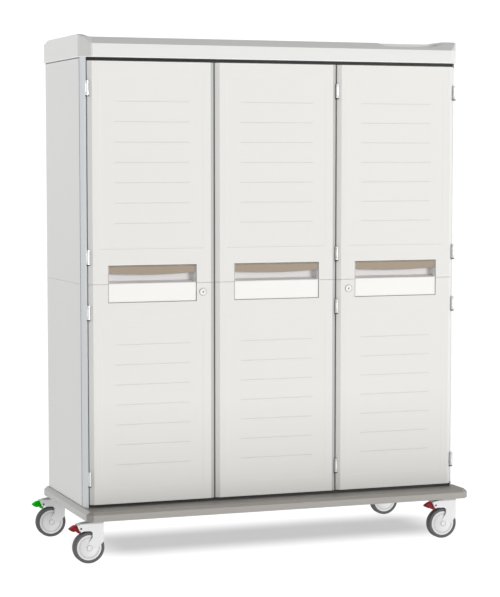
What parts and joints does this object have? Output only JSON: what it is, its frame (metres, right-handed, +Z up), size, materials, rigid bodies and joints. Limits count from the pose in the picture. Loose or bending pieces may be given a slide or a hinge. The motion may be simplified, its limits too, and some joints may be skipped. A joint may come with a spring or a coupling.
{
  "type": "mobile supply cabinet",
  "caption": "Mobile supply cabinet with tall hinged doors, recessed handles, a moulded cover and a taupe bumper base on swivel casters with brake levers.",
  "frame": {"origin": "on the floor, under the middle of the bounding box", "axes": "+Z up, the doors face -Y, +X runs to the right along the front as seen from the front"},
  "size_m": [1.737, 0.7208, 2.098],
  "materials": {
    "door_white": "satin moulded white, slightly warm",
    "body_white": "satin moulded white",
    "cover_white": "satin moulded white",
    "pan_grey": "moulded pale grey",
    "label_white": "smooth white strip",
    "grip_taupe": "satin taupe",
    "base_taupe": "fine grained taupe grey bumper",
    "aluminium_profile": "anodised, drawn lengthwise",
    "hinge_steel": "brushed",
    "steel_plate": "mill finish plate",
    "caster_grey": "moulded pale grey",
    "tyre_grey": "non-marking dark grey tread",
    "lever_red": "satin red",
    "lever_green": "satin green"
  },
  "bodies": {
    "body": {"base_bumper": "base_taupe", "base_deck": "steel_plate", "floor_panel": "body_white", "top_panel": "body_white", "top_cover": "cover_white", "back_panel": "body_white", "side_left_lower": "body_white", "side_left_upper": "body_white", "side_right_lower": "body_white", "side_right_upper": "body_white", "liner_left": "body_white", "liner_right": "body_white", "front_post_left": "aluminium_profile", "front_post_right": "aluminium_profile", "partition_left": "body_white", "partition_right": "body_white"},
    "door_1": {"door_1_upper": "door_white", "door_1_lower": "door_white", "handle_pan_1": "pan_grey", "grip_1": "grip_taupe", "label_strip_1": "label_white", "hinge_1_1": "hinge_steel", "hinge_1_2": "hinge_steel", "hinge_1_3": "hinge_steel", "hinge_1_4": "hinge_steel"},
    "door_2": {"door_2_upper": "door_white", "door_2_lower": "door_white", "handle_pan_2": "pan_grey", "grip_2": "grip_taupe", "label_strip_2": "label_white", "hinge_2_1": "hinge_steel", "hinge_2_2": "hinge_steel", "hinge_2_3": "hinge_steel", "hinge_2_4": "hinge_steel"},
    "door_3": {"door_3_upper": "door_white", "door_3_lower": "door_white", "handle_pan_3": "pan_grey", "grip_3": "grip_taupe", "label_strip_3": "label_white", "hinge_3_1": "hinge_steel", "hinge_3_2": "hinge_steel", "hinge_3_3": "hinge_steel", "hinge_3_4": "hinge_steel"},
    "lock_1_turn": {"lock_1": "hinge_steel"},
    "lock_3_turn": {"lock_3": "hinge_steel"},
    "caster_front_left": {"fork_front_left": "caster_grey"},
    "wheel_front_left": {"hub_front_left": "caster_grey", "tyre_front_left": "tyre_grey"},
    "brake_front_left": {"lever_front_left": "lever_red"},
    "caster_rear_left": {"fork_rear_left": "caster_grey"},
    "wheel_rear_left": {"hub_rear_left": "caster_grey", "tyre_rear_left": "tyre_grey"},
    "brake_rear_left": {"lever_rear_left": "lever_green"},
    "caster_front_right": {"fork_front_right": "caster_grey"},
    "wheel_front_right": {"hub_front_right": "caster_grey", "tyre_front_right": "tyre_grey"},
    "brake_front_right": {"lever_front_right": "lever_red"},
    "caster_rear_right": {"fork_rear_right": "caster_grey"},
    "wheel_rear_right": {"hub_rear_right": "caster_grey", "tyre_rear_right": "tyre_grey"}
  },
  "joints": [
    {"name": "door_1_hinge", "type": "hinge", "parent": "body", "child": "door_1", "pos_m": [-0.7687, -0.2554, 1.1078], "axis": [0, 0, -1], "range_deg": [0, 180]},
    {"name": "door_2_hinge", "type": "hinge", "parent": "body", "child": "door_2", "pos_m": [0.2981, -0.2554, 1.1078], "axis": [0, 0, 1], "range_deg": [0, 150]},
    {"name": "door_3_hinge", "type": "hinge", "parent": "body", "child": "door_3", "pos_m": [0.8315, -0.2554, 1.1078], "axis": [0, 0, 1], "range_deg": [0, 180]},
    {"name": "lock_1_cam", "type": "hinge", "parent": "door_1", "child": "lock_1_turn", "pos_m": [-0.2885, -0.2584, 1.0698], "axis": [0, 1, 0], "range_deg": [0, 90]},
    {"name": "lock_3_cam", "type": "hinge", "parent": "door_3", "child": "lock_3_turn", "pos_m": [0.3513, -0.2584, 1.0698], "axis": [0, -1, 0], "range_deg": [0, 90]},
    {"name": "swivel_front_left", "type": "hinge", "parent": "body", "child": "caster_front_left", "pos_m": [-0.7457, -0.3004, 0.15], "axis": [0, 0, 1], "continuous": true},
    {"name": "spin_front_left", "type": "hinge", "parent": "caster_front_left", "child": "wheel_front_left", "pos_m": [-0.7887, -0.3004, 0.0635], "axis": [0, 1, 0], "continuous": true},
    {"name": "lever_front_left_press", "type": "hinge", "parent": "caster_front_left", "child": "brake_front_left", "pos_m": [-0.8235, -0.3004, 0.1432], "axis": [0, -1, 0], "range_deg": [0, 12]},
    {"name": "swivel_rear_left", "type": "hinge", "parent": "body", "child": "caster_rear_left", "pos_m": [-0.7457, 0.3004, 0.15], "axis": [0, 0, 1], "continuous": true},
    {"name": "spin_rear_left", "type": "hinge", "parent": "caster_rear_left", "child": "wheel_rear_left", "pos_m": [-0.7887, 0.3004, 0.0635], "axis": [0, 1, 0], "continuous": true},
    {"name": "lever_rear_left_press", "type": "hinge", "parent": "caster_rear_left", "child": "brake_rear_left", "pos_m": [-0.8235, 0.3004, 0.1432], "axis": [0, -1, 0], "range_deg": [0, 12]},
    {"name": "swivel_front_right", "type": "hinge", "parent": "body", "child": "caster_front_right", "pos_m": [0.8085, -0.3004, 0.15], "axis": [0, 0, 1], "continuous": true},
    {"name": "spin_front_right", "type": "hinge", "parent": "caster_front_right", "child": "wheel_front_right", "pos_m": [0.7655, -0.3004, 0.0635], "axis": [0, 1, 0], "continuous": true},
    {"name": "lever_front_right_press", "type": "hinge", "parent": "caster_front_right", "child": "brake_front_right", "pos_m": [0.7307, -0.3004, 0.1432], "axis": [0, -1, 0], "range_deg": [0, 12]},
    {"name": "swivel_rear_right", "type": "hinge", "parent": "body", "child": "caster_rear_right", "pos_m": [0.8085, 0.3004, 0.15], "axis": [0, 0, 1], "continuous": true},
    {"name": "spin_rear_right", "type": "hinge", "parent": "caster_rear_right", "child": "wheel_rear_right", "pos_m": [0.7655, 0.3004, 0.0635], "axis": [0, 1, 0], "continuous": true}
  ]
}
